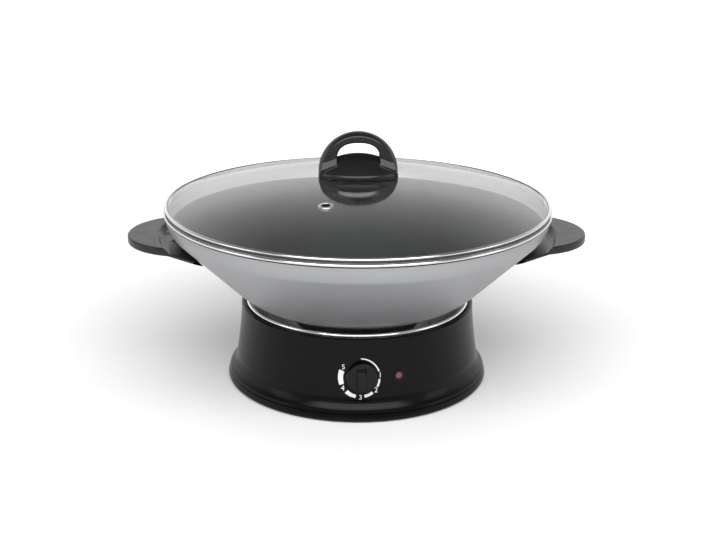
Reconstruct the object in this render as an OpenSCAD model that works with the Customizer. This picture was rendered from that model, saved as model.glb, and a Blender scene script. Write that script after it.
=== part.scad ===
// Table-top electric wok: heated base, lift-off bowl with side handles, loose glass lid.
// Origin: centre of the base on the table. +Z is up, -Y is the front with the dial.

/* [Base] */
// Height of the base shell's top lip above the table
base_top_z = 74.3; // [72:0.1:76]
// How much wider the base's top is than the bowl's flat middle
base_add = 52.8; // [50:0.1:55]
// How much wider the base is at its waist, above the flare
base_waist_add = 5.2; // [4:0.1:7]
// Height at which the flare to the foot starts
base_waist_z = 24.5; // [22:0.1:28]
// Radius of the hollow flare between wall and foot
flare_r = 18; // [15:0.5:20]
// Height of the crease where the flare ends
crease_z = 11.5; // [10.5:0.1:13]
// How much wider the foot is than the waist
foot_add = 9; // [7:0.1:12]
// Wall of the moulded base
base_wall = 3; // [2.5:0.1:3.5]
// Gap between the table and the shell's lower edge
shell_lift = 1.2; // [1:0.1:2]
// Depth of the step that the trim ring sits in
ledge_drop = 3.3; // [2.5:0.1:4]
// Width of the lip left outside that step
lip_w = 2.8; // [2:0.1:3.5]
// Width of the ledge that carries dish and ring
ledge_w = 8.5; // [8:0.1:10]

/* [Bottom and feet] */
// Thickness of the bottom plate
plate_t = 2; // [1.5:0.1:3]
// Height of the bottom plate's underside
plate_z = 3.2; // [2.5:0.1:4]
// Radius of a rubber foot
pad_r = 8.5; // [6:0.5:9.5]
// Distance of the feet's middles from the foot's edge
pad_in = 32; // [29:0.5:36]
// Distance of the bottom screws from the foot's edge
screw_in = 18; // [16:0.5:19]
// Height of the screw bosses
boss_h = 19; // [15:0.5:22]
// Radius of a screw boss
boss_r = 4.6; // [4:0.1:5]

/* [Trim ring and dish] */
// Groove between the bright trim ring and the shell's lip
ring_gap = 1.4; // [1:0.1:2]
// Width of the trim ring
ring_w = 4; // [3.6:0.1:5]
// Height of the trim ring
ring_h = 4.7; // [4:0.1:6]
// Sheet thickness of the reflector dish
dish_t = 0.8; // [0.6:0.1:1.2]
// Room between the heating plate and the dish floor
dish_gap = 11.7; // [10:0.1:13]
// How much wider the flat dish floor is than the heating plate
dish_floor_add = 6; // [4:0.5:8]

/* [Heater] */
// Width of the lip round the cast heating plate
heater_lip_w = 3.2; // [2.5:0.1:4]
// Thickness of the heating plate
heater_t = 10; // [9:0.5:11]
// Height of the lip that centres the bowl
heater_lip_h = 3.5; // [2.5:0.1:4.5]
// Distance of the bent heating tube from the plate's edge
coil_in = 18; // [14:0.5:20]
// Radius of the heating tube
tube_r = 4; // [3:0.1:4.5]
// Half the angle left open between the tube's ends
coil_gap = 12; // [10:1:20]
// Distance of the plate's spacers from its edge
spacer_in = 7.5; // [7:0.1:8.5]
// Radius of a spacer
spacer_r = 3.6; // [3:0.1:4]

/* [Bowl] */
// Radius of the bowl's rim, over the lip
rim_r = 180; // [178:0.1:184]
// Height of the bowl from its round underside to its rim
bowl_h = 96.2; // [92:0.1:100]
// How far the bowl's underside sits below the base's top
bowl_sink = 5.3; // [4:0.1:7]
// Height of the lip that stands out at the rim
lip_h = 2.9; // [2.4:0.1:4]
// How far the lip stands out past the collar
lip_out = 1.8; // [1:0.1:4]
// Height of the collar, from the knee up to the rim
collar_h = 15.2; // [12:0.1:19]
// How far the cone, at the collar's foot, sits inside the collar
knee_in = 1.8; // [1:0.1:4]
// Wall of the cast bowl
bowl_t = 2.8; // [2.4:0.1:3.4]
// Radius of the bowl's flat middle
bowl_flat_r = 57; // [56.5:0.5:60]
// Radius of the bend from the flat middle to the cone
bowl_bend_r = 90; // [82:1:96]
// Radius of the soft knee between cone and collar
knee_round = 22; // [15:1:25]
// How far the turned foot sits inside the flat middle
bowl_foot_in = 1; // [0.5:0.1:3]
// Height of that foot
bowl_foot_h = 5; // [4:0.1:6]

/* [Side handles] */
// How far a handle's tip stands out past the rim
handle_out = 34.5; // [30:0.5:38]
// Radius of the handle's round end
handle_end_r = 57; // [54:0.5:60]
// How far the handle's top sits below the rim
handle_drop = 25.2; // [23:0.1:28]
// Thickness of the handle plate
handle_t = 7; // [6.5:0.5:10]
// Half width of the handle where it meets the bowl
handle_root_w = 60; // [56:0.5:64]
// Radius of the arc at the handle plate's inner edge
recess_r = 82; // [78:1:88]
// How far that arc stands out past the rim
recess_out = 4; // [2:0.5:8]
// Depth of the recess beside the bowl
recess_d = 5; // [4:0.5:6]
// Gap between handle and bowl
handle_gap = 0.5; // [0.4:0.1:0.8]
// Room between a handle's insert and the bowl's wall
insert_room = 5.7; // [4:0.1:8]
// Height of the handle over the cast lug that carries it
handle_h = 15.5; // [15:0.5:20]
// Thickness of the cast lug
lug_t = 4.5; // [4:0.5:8]
// Width of the cast lug
lug_w = 26; // [22:1:34]

/* [Lid] */
// How far the lid's steel band sits inside the rim's edge
band_in = 1.3; // [0.5:0.1:3]
// Height of the glass above the band's foot at its centre
glass_rise = 28; // [24:0.5:32]
// Thickness of the glass
glass_t = 3; // [2.6:0.1:3.2]
// Sheet thickness of the band
band_t = 0.5; // [0.4:0.05:0.6]
// Height of the band's outer wall
band_h = 4.2; // [3.8:0.1:5]
// Width of the band's upper leg
band_w = 4.9; // [4:0.1:6]
// Depth of the skirt that drops inside the rim
skirt_h = 4; // [3:0.1:6]
// Distance of the steam vent from the centre
vent_r = 90; // [82:1:116]
// Direction of the steam vent
vent_angle = 250; // [235:1:268]
// Outer radius of the vent eyelet
eyelet_r = 6.8; // [5.8:0.1:7.4]
// Radius of the vent hole
vent_hole_r = 3; // [2:0.1:3.4]

/* [Lid knob] */
// Half length of the lid knob
knob_half = 36.6; // [34:0.1:38]
// Height of the lid knob above its foot
knob_h = 42.3; // [40:0.1:44]
// Half depth of the knob's foot at its middle
knob_depth = 25; // [22:0.5:27]
// Half depth of the knob's foot at its ends
knob_end_depth = 8.8; // [7:0.1:10]
// Height of the foot's upright rim
knob_rim_h = 5.4; // [4:0.1:7]
// Height of the domed middle above the foot
knob_dome_h = 22.2; // [18:0.1:23]
// Half the width of the arch in depth
arch_half = 8.8; // [7:0.1:9]
// Height of the finger hole's top above the foot
finger_top = 32.8; // [31:0.1:34]
// Half the width of the finger hole
finger_half = 19.6; // [18:0.1:22]
// Thickness of the silicone washer under the knob
washer_t = 0.8; // [0.6:0.1:1.2]

/* [Dial and lamp] */
// Height of the dial's axis
dial_z = 39.9; // [38.5:0.1:41]
// Radius of the flat face cut into the flare below the dial
dial_face_r = 22.5; // [21:0.5:24]
// How far that face stands outside the wall at the dial's height
dial_face_out = 1.9; // [1.5:0.1:2.4]
// Radius of the seat sunk behind the dial
dial_seat_r = 11.5; // [10.5:0.5:12]
// How deep that seat is sunk into the wall at the dial's height
dial_face_in = 0.2; // [0.1:0.1:0.6]
// Radius of the dial knob
dial_r = 13.3; // [12.5:0.1:14.5]
// Thickness of the dial knob's disc
dial_disc_t = 3.4; // [3:0.1:4.5]
// Height of the grip over the disc
grip_h = 6; // [5:0.1:8]
// How far the grip's sloping ends reach along it
grip_slope = 3; // [2:0.5:4]
// Width of the grip
grip_w = 9; // [8.6:0.1:10]
// Radius of the thermostat's shaft
shaft_r = 3; // [2.8:0.1:3.2]
// How far the shaft reaches into the grip
shaft_in = 4; // [3:0.1:4.5]
// Width of the thermostat's body
thermostat_w = 32; // [28:0.5:34]
// Depth of the thermostat's body
thermostat_d = 22; // [18:0.5:23]
// Height of the thermostat's body
thermostat_h = 19; // [17:0.5:19.5]
// Radius of the pilot lamp's lens
lens_r = 3.8; // [3:0.1:4.4]
// Direction of the pilot lamp from the dial, about the base's axis
lens_angle = 17.1; // [16.5:0.1:25]
// Height of the pilot lamp
lens_z = 38.9; // [38:0.1:41]

/* [Mains inlet] */
// Height of the cord gland's axis
gland_z = 20; // [19:0.5:21]
// Radius of the gland's bore
gland_bore_r = 4; // [3.5:0.1:4.5]
// Radius of the gland's barrel
gland_r = 6.5; // [6:0.1:7]
// Width of the terminal block
block_w = 34; // [30:1:40]
// Radius of an insulated wire
wire_r = 1.3; // [1:0.1:1.5]

/* [Hidden] */
$fn = 96;

// Clearances and small standard sizes
fit = 0.1;           // between fixed pieces of one body
seat = 0.3;          // between a resting piece and its seat
run_fit = 0.06;      // round a turning shaft
through = 1;         // how far a cutting tool runs past a face
m3_r = 1.5;
m3_head_r = 2.8;
m4_r = 2;
m4_head_r = 3.8;
m5_r = 2.5;
m5_head_r = 4.4;
head_h = 2;
wall_taper_power = 1.6;

// Heights and radii that follow from the sizes above
base_top_r = bowl_flat_r + base_add;
waist_r = base_top_r + base_waist_add;
foot_r = waist_r + foot_add;
ring_r = base_top_r - lip_w - ring_gap;
ledge_in_r = base_top_r - lip_w - ledge_w;
pad_circle_r = foot_r - pad_in;
screw_circle_r = foot_r - screw_in;
bowl_z = base_top_z - bowl_sink;
rim_z = bowl_z + bowl_h;
knee_z = rim_z - collar_h;
collar_r = rim_r - lip_out;
knee_r = collar_r - knee_in;
bowl_foot_r = bowl_flat_r - bowl_foot_in;
foot_play = 0.8;     // between the bowl's foot and the heating plate's lip
heater_r = bowl_foot_r + foot_play + heater_lip_w;
coil_r = heater_r - coil_in;
spacer_circle_r = heater_r - spacer_in;
handle_reach = rim_r + handle_out;
handle_top_z = rim_z - handle_drop;
recess_reach = rim_r + recess_out;
lug_z = handle_top_z - handle_h;
insert_r = 4;
insert_len = 7.2;
// Angle of the bowl's cone above the horizontal
cone_a = let (dx = knee_r - bowl_flat_r, dz = knee_z - bowl_z - bowl_bend_r)
    atan2(dz, dx) + acos(-bowl_bend_r / norm([dx, dz])) - 90;
handle_screw_x = knee_r - (knee_z - lug_z - seat - insert_len) / tan(cone_a) + insert_r + insert_room;
band_r = rim_r - band_in;
ledge_z = base_top_z - ledge_drop;
lip_in_r = base_top_r - lip_w;
ledge_t = base_wall;
plate_top_z = plate_z + plate_t;
plate_r = foot_r - 5.7;
foot_in_r = foot_r - 5.2;
flare_x = waist_r + flare_r;
dish_seat_z = ledge_z + dish_t;
heater_top_z = bowl_z - bowl_foot_h - seat;
heater_z = heater_top_z - heater_t;
dish_floor_z = heater_z - dish_gap;
dish_floor_r = heater_r + dish_floor_add;
dish_in_r = ledge_in_r - 1;
ring_mid_r = ring_r - ring_w / 2;
band_z = rim_z + seat;
glass_edge_r = band_r - band_t - seat;
glass_edge_h = band_h - band_t - fit;
glass_sag = glass_rise - glass_edge_h;
glass_ball_r = (glass_edge_r * glass_edge_r + glass_sag * glass_sag) / (2 * glass_sag);
glass_top_z = band_z + glass_rise;
knob_foot_z = glass_top_z - 0.8;
dial_face_y = wall_r(dial_z) + dial_face_out;
dial_back_y = dial_face_y + seat;
dial_end_y = dial_back_y + dial_disc_t;
dial_seat_y = wall_r(dial_z) - dial_face_in;
thermostat_y = dial_seat_y - 8;
backing_y = dial_seat_y - base_wall - 2;

function arc(cx, cz, r, from, to, steps) =
    [for (i = [0:steps]) let (a = from + (to - from) * i / steps) [cx + r * cos(a), cz + r * sin(a)]];
function unit(v) = v / norm(v);
function left_of(a, b) = let (d = unit(b - a)) [-d[1], d[0]];
function mitre(p, i) =
    let (last = len(p) - 1,
         before = left_of(p[max(i - 1, 0)], p[max(i - 1, 0) + 1]),
         after = left_of(p[min(i, last - 1)], p[min(i, last - 1) + 1]),
         middle = unit(before + after))
    middle / (middle * before);
// Closed outline of a sheet of thickness t on the left of an open path
function sheet(p, t) = concat(p, [for (i = [len(p) - 1:-1:0]) p[i] + t * mitre(p, i)]);

// Outer radius of the base wall at height z
function wall_r(z) =
    base_top_r + base_waist_add * pow(max(base_top_z - z, 0) / (base_top_z - base_waist_z), wall_taper_power);

module polar(angles, r) {
    for (a = angles) rotate(a) translate([r, 0, 0]) children();
}

// Cylinder along -Y, whose near end is at distance y from the base's axis
module front_rod(y, r, h) {
    translate([0, -y, dial_z]) rotate([90, 0, 0]) cylinder(h = h, r = r);
}

// A route whose inner corners are rounded off with short curves
function rounded(points, bend) = let (last = len(points) - 1) concat(
    [points[0]],
    [for (i = [1:last - 1]) let (
        p = points[i],
        a = p + bend * unit(points[i - 1] - p),
        c = p + bend * unit(points[i + 1] - p)) each [a, (a + 2 * p + c) / 4, c]],
    [points[last]]);

// Round wire swept along a route
module wire(points, r) {
    sides = 8;
    reference = [0.37, 0.83, 0.41];
    path = rounded(points, 3 * r);
    last = len(path) - 1;
    rings = [for (i = [0:last]) let (
        t = unit(path[min(i + 1, last)] - path[max(i - 1, 0)]),
        u = unit(cross(t, reference)),
        v = cross(t, u))
        each [for (k = [0:sides - 1]) path[i] + r * (cos(k * 360 / sides) * u + sin(k * 360 / sides) * v)]];
    walls = [for (i = [0:last - 1], k = [0:sides - 1]) let (n = (k + 1) % sides)
        [i * sides + k, i * sides + n, (i + 1) * sides + n, (i + 1) * sides + k]];
    caps = [[for (k = [sides - 1:-1:0]) k], [for (k = [0:sides - 1]) last * sides + k]];
    polyhedron(points = rings, faces = [for (f = concat(walls, caps)) [for (i = [len(f) - 1:-1:0]) f[i]]]);
}

// Screw with its head below, its shaft pointing up from z = 0
module screw_up(r, head_r, length) {
    cylinder(h = length, r = r);
    translate([0, 0, -head_h]) cylinder(h = head_h, r = head_r);
}

// ---------- Base ----------

function flare_end(r) = asin((base_waist_z - crease_z) / r);
shell_wall_steps = 8;
wall_span = base_top_z - 1.3 - base_waist_z;
function outer_wall() = [for (i = [1:shell_wall_steps])
    let (z = base_waist_z + wall_span * i / shell_wall_steps) [wall_r(z), z]];
inner_span = ledge_z - ledge_t - base_waist_z;
function inner_wall() = [for (i = [shell_wall_steps:-1:0])
    let (z = base_waist_z + inner_span * i / shell_wall_steps) [wall_r(z) - base_wall, z]];
inner_flare_r = flare_r + base_wall;
inner_flare_a = acos((flare_x - foot_in_r) / inner_flare_r);

module shell_profile() {
    crease_r = flare_x - flare_r * cos(flare_end(flare_r));
    polygon(concat(
        [[foot_r - 0.6, shell_lift], [foot_r, shell_lift + 1.2], [foot_r - 0.4, shell_lift + 3.3],
         [foot_r - 1.3, crease_z - 4.5], [foot_r - 2.2, crease_z - 3.9], [foot_r - 1.4, crease_z - 3.3],
         [crease_r + 1.1, crease_z - 0.9]],
        arc(flare_x, base_waist_z, flare_r, 180 + flare_end(flare_r), 180, 8),
        outer_wall(),
        [[base_top_r - 1.3, base_top_z], [lip_in_r, base_top_z], [lip_in_r, ledge_z],
         [ledge_in_r, ledge_z], [ledge_in_r, ledge_z - ledge_t]],
        inner_wall(),
        arc(flare_x, base_waist_z, inner_flare_r, 180, 180 + inner_flare_a, 6),
        [[foot_in_r, shell_lift]]));
}

// The room inside the base's outer face, in which the backing ends
backing_in = 0.5;
backing_rise = 25;
function backing_outline() = concat(
    [[ledge_in_r / 2, base_waist_z - flare_r * 0.7]],
    arc(flare_x, base_waist_z, flare_r + backing_in, 180 + 43, 180, 8),
    [for (i = [1:4]) let (z = base_waist_z + backing_rise * i / 4) [wall_r(z) - backing_in, z]],
    [[ledge_in_r / 2, base_waist_z + backing_rise]]);

screw_angles = [25, 155, 205, 335];
ring_screw_angles = [45, 135, 225, 315];

module base_shell() {
    color("#1c1c1e") difference() {
        union() {
            rotate_extrude() shell_profile();
            // Backing behind the dial's seat and face
            intersection() {
                front_rod(backing_y, dial_face_r + 3, dial_face_y + 3 - backing_y);
                rotate_extrude() polygon(backing_outline());
            }
            polar(screw_angles, 0) {
                translate([screw_circle_r, 0, plate_top_z]) cylinder(h = boss_h, r = boss_r);
                translate([screw_circle_r, -2, plate_top_z + 5]) cube([6.6, 4, boss_h - 5]);
            }
        }
        front_rod(dial_face_y, dial_face_r, 20);
        front_rod(dial_seat_y, dial_seat_r, 20);
        front_rod(dial_seat_y - 12, shaft_r + 2.2, 20);
        lens_place(-base_wall - 8) cylinder(h = 20, r = lens_r + fit);
        translate([0, 0, gland_z]) rotate([-90, 0, 0]) cylinder(h = foot_r + 5, r = gland_r + fit);
        translate([0, foot_r - 6.3, gland_z]) rotate([-90, 0, 0]) cylinder(h = 10, r = gland_r + 3.2);
        polar(screw_angles, screw_circle_r) translate([0, 0, plate_z]) cylinder(h = 13, r = m3_r + fit / 2);
        polar(ring_screw_angles, ring_mid_r)
            translate([0, 0, ledge_z - ledge_t - through]) cylinder(h = ledge_t + 2 * through, r = m3_r + fit);
    }
}

module bottom_plate() {
    vent_rows = 4;
    color("#2a2a2c") difference() {
        translate([0, 0, plate_z]) cylinder(h = plate_t, r = plate_r);
        polar([45:90:315], pad_circle_r) translate([0, 0, plate_z - through]) cylinder(h = plate_t + 2 * through, r = 3);
        polar(screw_angles, screw_circle_r)
            translate([0, 0, plate_z - through]) cylinder(h = plate_t + 2 * through, r = m3_r + fit);
        for (i = [-vent_rows:vent_rows])
            translate([i * 9 - 2, -28, plate_z - through]) cube([4, 56, plate_t + 2 * through]);
    }
}

module rubber_feet() {
    stem_h = 2.2;
    color("#111111") polar([45:90:315], pad_circle_r) {
        cylinder(h = plate_z, r = pad_r);
        translate([0, 0, plate_z]) cylinder(h = plate_t + stem_h, r = 2.9);
        translate([0, 0, plate_top_z]) cylinder(h = stem_h, r1 = 4, r2 = 3);
    }
}

module bottom_screws() {
    color("silver") polar(screw_angles, screw_circle_r) translate([0, 0, plate_z]) screw_up(m3_r, m3_head_r, 12);
}

module trim_ring() {
    crown = ring_w / 2;
    color("#e4e4e4") difference() {
        translate([0, 0, dish_seat_z]) rotate_extrude() polygon(concat(
            [[ring_r - ring_w, 0], [ring_r, 0]],
            arc(ring_mid_r, ring_h - crown, crown, 0, 180, 8)));
        polar(ring_screw_angles, ring_mid_r)
            translate([0, 0, dish_seat_z - through]) cylinder(h = 3 + through, r = m3_r + fit / 2);
    }
}

module ring_screws() {
    color("silver") polar(ring_screw_angles, ring_mid_r)
        translate([0, 0, ledge_z - ledge_t]) screw_up(m3_r, m3_head_r, ledge_t + dish_t + 2.6);
}

spacer_angles = [30, 150, 270];
leg_x = coil_r * sin(coil_gap);
leg_y = coil_r * cos(coil_gap);
bulb_y = 1 - coil_r / 2;
fuse_y = coil_r / 2 - 3;

module reflector_dish() {
    corner = 8;
    wall_a = atan2(ledge_z - dish_floor_z, dish_in_r - dish_floor_r);
    color("#c8c8c8") difference() {
        rotate_extrude() polygon(sheet(concat(
            [[0, dish_floor_z]],
            arc(dish_floor_r - corner, dish_floor_z + 2 * corner, 2 * corner, 270, 270 + wall_a, 5),
            [[dish_in_r, ledge_z], [ring_r - 0.4, ledge_z]]), dish_t));
        for (s = [-1, 1]) translate([s * leg_x, leg_y, dish_floor_z - through]) cylinder(h = 4, r = tube_r + seat);
        polar(spacer_angles, spacer_circle_r) translate([0, 0, dish_floor_z - through]) cylinder(h = 4, r = m4_r + fit);
        polar(ring_screw_angles, ring_mid_r) translate([0, 0, ledge_z - through]) cylinder(h = 4, r = m3_r + fit);
        translate([capillary_x, bulb_y, dish_floor_z - through]) cylinder(h = 4, r = 2);
        translate([fuse_wire_x, fuse_y, dish_floor_z - through]) cylinder(h = 4, r = 2.4);
        translate([-fuse_wire_x, fuse_y, dish_floor_z - through]) cylinder(h = 4, r = 2.4);
        translate([earth_x, earth_y, dish_floor_z - through]) cylinder(h = 4, r = m3_r + fit);
    }
}

module heating_plate() {
    color("#9a9a9a") difference() {
        union() {
            translate([0, 0, heater_z]) cylinder(h = heater_t, r = heater_r);
            translate([0, 0, heater_top_z]) cylinder(h = heater_lip_h, r = heater_r);
        }
        translate([0, 0, heater_top_z]) cylinder(h = heater_lip_h + through, r = heater_r - heater_lip_w);
        translate([0, 0, heater_z]) rotate_extrude() translate([coil_r, 0]) circle(tube_r + fit);
        polar(spacer_angles, spacer_circle_r) translate([0, 0, heater_z - through]) cylinder(h = 7, r = m4_r + fit / 2);
    }
}

module heating_element() {
    leg_h = 23;
    pin_r = 1.6;
    color("#6e6e6e") {
        translate([0, 0, heater_z]) rotate([0, 0, 90 + coil_gap])
            rotate_extrude(angle = 360 - 2 * coil_gap) translate([coil_r, 0]) circle(tube_r);
        for (s = [-1, 1]) translate([s * leg_x, leg_y, 0]) {
            translate([0, 0, heater_z]) sphere(tube_r * 1.01);
            translate([0, 0, heater_z - leg_h]) cylinder(h = leg_h, r = tube_r);
            translate([0, 0, pin_z]) cylinder(h = heater_z - leg_h - pin_z, r = pin_r);
        }
    }
}
pin_z = heater_z - 30.7;

module plate_spacers() {
    bottom = dish_floor_z + dish_t;
    color("silver") difference() {
        polar(spacer_angles, spacer_circle_r) translate([0, 0, bottom]) cylinder(h = heater_z - bottom, r = spacer_r);
        polar(spacer_angles, spacer_circle_r) translate([0, 0, bottom - through]) cylinder(h = 20, r = m4_r + fit);
    }
}

module plate_screws() {
    color("silver") polar(spacer_angles, spacer_circle_r)
        translate([0, 0, dish_floor_z]) screw_up(m4_r, m4_head_r, heater_z + 5.5 - dish_floor_z);
}

bulb_r = 2.4;
bulb_end_x = coil_r - 18;
capillary_x = bulb_end_x + 4;
bulb_z = heater_z - bulb_r - fit / 2;
bulb_len = 2 * bulb_end_x - 2;

module sensor_bulb() {
    color("#b06a3a") translate([bulb_end_x, bulb_y, bulb_z]) rotate([0, -90, 0]) cylinder(h = bulb_len, r = bulb_r);
}

// Strap under a round body of radius r, held to the heating plate
module saddle(r, w) {
    t = 0.8;
    difference() {
        union() {
            rotate([0, 90, 0]) cylinder(h = w, r = r + t + fit, center = true);
            translate([-w / 2, -r - t - fit, 0]) cube([w, 2 * (r + t + fit), r + fit / 2]);
            translate([-w / 2, -r - 5, r + fit / 2 - t]) cube([w, 2 * (r + 5), t]);
        }
        rotate([0, 90, 0]) cylinder(h = w + 2, r = r + fit / 2, center = true);
        translate([-w / 2 - 1, -r - fit / 2, 0]) cube([w + 2, 2 * r + fit, r + through]);
    }
}

module bulb_clips() {
    color("silver") for (x = [10 - bulb_end_x, bulb_end_x - 8]) translate([x, bulb_y, bulb_z]) saddle(bulb_r, 6);
}

module capillary_tube() {
    tube = 0.9;
    color("#b06a3a") wire([[bulb_end_x, bulb_y, bulb_z], [capillary_x, bulb_y, bulb_z],
        [capillary_x, bulb_y, dish_floor_z - 8], [bulb_end_x, -route_y - 6, dish_floor_z - 8], [3, -near_y, dial_z - 6],
        [3, thermostat_back, dial_z - 6]], tube);
}

fuse_r = 2.2;
fuse_half = 9;
fuse_wire_x = coil_r - 20;
fuse_z = heater_z - fuse_r - fit / 2;

module thermal_fuse() {
    lead = 0.6;
    color("#d8d0b8") {
        translate([-fuse_half, fuse_y, fuse_z]) rotate([0, 90, 0]) cylinder(h = 2 * fuse_half, r = fuse_r);
        for (s = [-1, 1]) wire([[s * (fuse_half - 1), fuse_y, fuse_z], [s * fuse_wire_x, fuse_y, fuse_z],
            [s * fuse_wire_x, fuse_y, dish_floor_z - 5]], lead);
    }
}

module fuse_clip() {
    color("silver") translate([0, fuse_y, fuse_z]) saddle(fuse_r, 8);
}

// ---------- Dial, thermostat and lamp ----------

bush_r = shaft_r + 2;
nut_t = 2.6;
bush_end_y = dial_seat_y + nut_t + 0.2;
flat_d = 0.8;
shaft_end_y = dial_end_y + shaft_in;

module thermostat_body() {
    color("#d9c9a0") difference() {
        union() {
            translate([-thermostat_w / 2, -thermostat_y, dial_z - thermostat_h / 2])
                cube([thermostat_w, thermostat_d, thermostat_h]);
            front_rod(thermostat_y - 1, bush_r, bush_end_y - thermostat_y + 1);
            front_rod(thermostat_y - 1, bush_r + 4, backing_y - thermostat_y + 1);
        }
        front_rod(thermostat_y - 8, shaft_r + run_fit, 30);
    }
}

module thermostat_nut() {
    across = bush_r + 3;
    color("silver") difference() {
        translate([0, -dial_seat_y, dial_z]) rotate([90, 0, 0]) cylinder(h = nut_t, r = across, $fn = 6);
        front_rod(dial_seat_y - through, bush_r + fit / 2, nut_t + 2 * through);
    }
}

module thermostat_shaft() {
    start = thermostat_y - 7.5;
    color("silver") difference() {
        front_rod(start, shaft_r, shaft_end_y - start);
        translate([-5, -shaft_end_y - through, dial_z + shaft_r - flat_d])
            cube([10, shaft_end_y + through - dial_back_y - flat_start, 5]);
    }
}

module dial_knob() {
    edge = 1.2;
    grip_half = dial_r - 2.8;
    hollow_end_y = max(bush_end_y, dial_back_y) + 0.6;
    color("#18181a") difference() {
        union() {
            front_rod(dial_back_y, dial_r, dial_disc_t - edge);
            translate([0, edge - dial_end_y, dial_z]) rotate([90, 0, 0]) cylinder(h = edge, r1 = dial_r, r2 = dial_r - edge);
            // Grip, seen from its side
            translate([-grip_w / 2, 0, dial_z]) rotate([90, 0, 90]) linear_extrude(grip_w) polygon([
                [through - dial_end_y, -grip_half], [-dial_end_y, -grip_half], [-dial_end_y - grip_h, grip_slope - grip_half],
                [-dial_end_y - grip_h, grip_half - grip_slope], [-dial_end_y, grip_half], [through - dial_end_y, grip_half]]);
        }
        front_rod(dial_back_y - through, bush_r + 3.6, hollow_end_y - dial_back_y + through);
        difference() {
            front_rod(dial_back_y, shaft_r + fit / 2, dial_disc_t + shaft_in + 0.2);
            translate([-5, -shaft_end_y - through, dial_z + shaft_r - flat_d + clip_t + fit])
                cube([10, shaft_end_y + through - dial_back_y - flat_start - 0.2, 5]);
        }
    }
}
clip_t = 0.4;
// Distance from the knob's back at which the shaft's flat starts
flat_start = 1.8;

module knob_clip() {
    color("silver") translate([-1.4, 0.1 - shaft_end_y, dial_z + shaft_r - flat_d + fit / 2])
        cube([2.8, shaft_end_y - 0.3 - dial_back_y - flat_start, clip_t]);
}

// Frame on the base wall at the lamp: local +Z points out of the wall
module lens_place(out) {
    rotate(lens_angle) translate([0, -wall_r(lens_z) - out, lens_z]) rotate([90, 0, 0]) children();
}

// Room behind the sloping wall for the lens's flange
lens_back = 1.3;

module pilot_lens() {
    flange = 1.3;
    barrel = base_wall + 3;
    color("#a84048") lens_place(-base_wall - flange - lens_back) {
        cylinder(h = barrel, r = lens_r);
        cylinder(h = flange, r = lens_r + 1.8);
        translate([0, 0, barrel]) cylinder(h = 0.9, r1 = lens_r, r2 = lens_r - 0.9);
    }
}

module pilot_lamp() {
    lamp_len = 13;
    color("#e0b090") lens_place(-base_wall - 1.6 - lens_back - lamp_len) {
        cylinder(h = lamp_len, r = lens_r - 0.8);
        cylinder(h = 4, r = lens_r + 0.6);
    }
}

// ---------- Mains inlet and wiring ----------

block_d = 17;
block_h = 13;
gland_len = 17.5;
gland_out_y = foot_r - 2.5;
gland_in_y = gland_out_y - gland_len;
clamp_y = gland_in_y - 16;
clamp_half = 15;
block_y = clamp_y - 30;

module terminal_block() {
    posts = 3;
    pitch = block_w / posts;
    color("#e8e4d8") difference() {
        translate([-block_w / 2, block_y, plate_top_z]) cube([block_w, block_d, block_h]);
        for (i = [0:posts - 1])
            translate([pitch * (i + 0.5) - block_w / 2, block_y + block_d / 2, plate_top_z + 5]) cylinder(h = block_h, r = 2.6);
        for (i = [0:posts - 1])
            translate([pitch * (i + 0.5) - block_w / 2, block_y - through, plate_top_z + block_h / 2])
                rotate([-90, 0, 0]) cylinder(h = 6, r = wire_r + 0.5);
    }
}

module cord_gland() {
    flange = 2.6;
    color("#151515") difference() {
        translate([0, 0, gland_z]) rotate([-90, 0, 0]) {
            translate([0, 0, gland_in_y]) cylinder(h = gland_out_y - gland_in_y, r = gland_r);
            translate([0, 0, gland_out_y - flange - 1.1]) cylinder(h = flange, r = gland_r + 3);
            translate([0, 0, gland_in_y]) cylinder(h = 2, r = gland_r + 1.5);
        }
        translate([0, gland_in_y - through, gland_z]) rotate([-90, 0, 0])
            cylinder(h = gland_out_y - gland_in_y + 2 * through, r = gland_bore_r);
    }
}

module cord_clamp() {
    clamp_d = 9;
    color("#e8e4d8") difference() {
        translate([-clamp_half, clamp_y - clamp_d / 2, plate_top_z])
            cube([2 * clamp_half, clamp_d, gland_z + gland_bore_r + 3 - plate_top_z]);
        translate([0, clamp_y - clamp_d, gland_z]) rotate([-90, 0, 0]) cylinder(h = 2 * clamp_d, r = gland_bore_r);
        for (s = [-1, 1]) translate([s * (clamp_half - 5), clamp_y, gland_z]) cylinder(h = 20, r = m3_r + fit);
    }
}

module clamp_screws() {
    color("silver") for (s = [-1, 1])
        translate([s * (clamp_half - 5), clamp_y, gland_z + gland_bore_r + 3]) rotate([180, 0, 0])
            screw_up(m3_r, m3_head_r, 6);
}

block_mouth_y = block_y + 1.5;
block_mouth_z = plate_top_z + block_h / 2;
side_x = block_w / 3;
thermostat_back = thermostat_d - thermostat_y;
wire_floor_z = plate_top_z + 5;
// Corners of the wires' route round the heating tube's legs
route_x = coil_r - 8;
route_y = coil_r + 8;
near_y = thermostat_y - thermostat_d - 14;

module live_wire() {
    color("#7a4a2a") wire([[-side_x, block_mouth_y, block_mouth_z], [-side_x, block_y - 10, block_mouth_z], [-route_x, coil_r / 2, wire_floor_z],
        [-route_x, -route_y, wire_floor_z], [-10, -near_y, dial_z - 3], [-10, thermostat_back, dial_z - 3]], wire_r);
}

module heater_wire() {
    color("#a33a2a") wire([[12, thermostat_back, dial_z - 4], [12, -near_y, dial_z - 4], [route_y, -coil_r, wire_floor_z + 4],
        [route_y, coil_r / 2, wire_floor_z + 4], [leg_x, leg_y, pin_z - 6], [leg_x, leg_y, pin_z]], wire_r);
}

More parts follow.
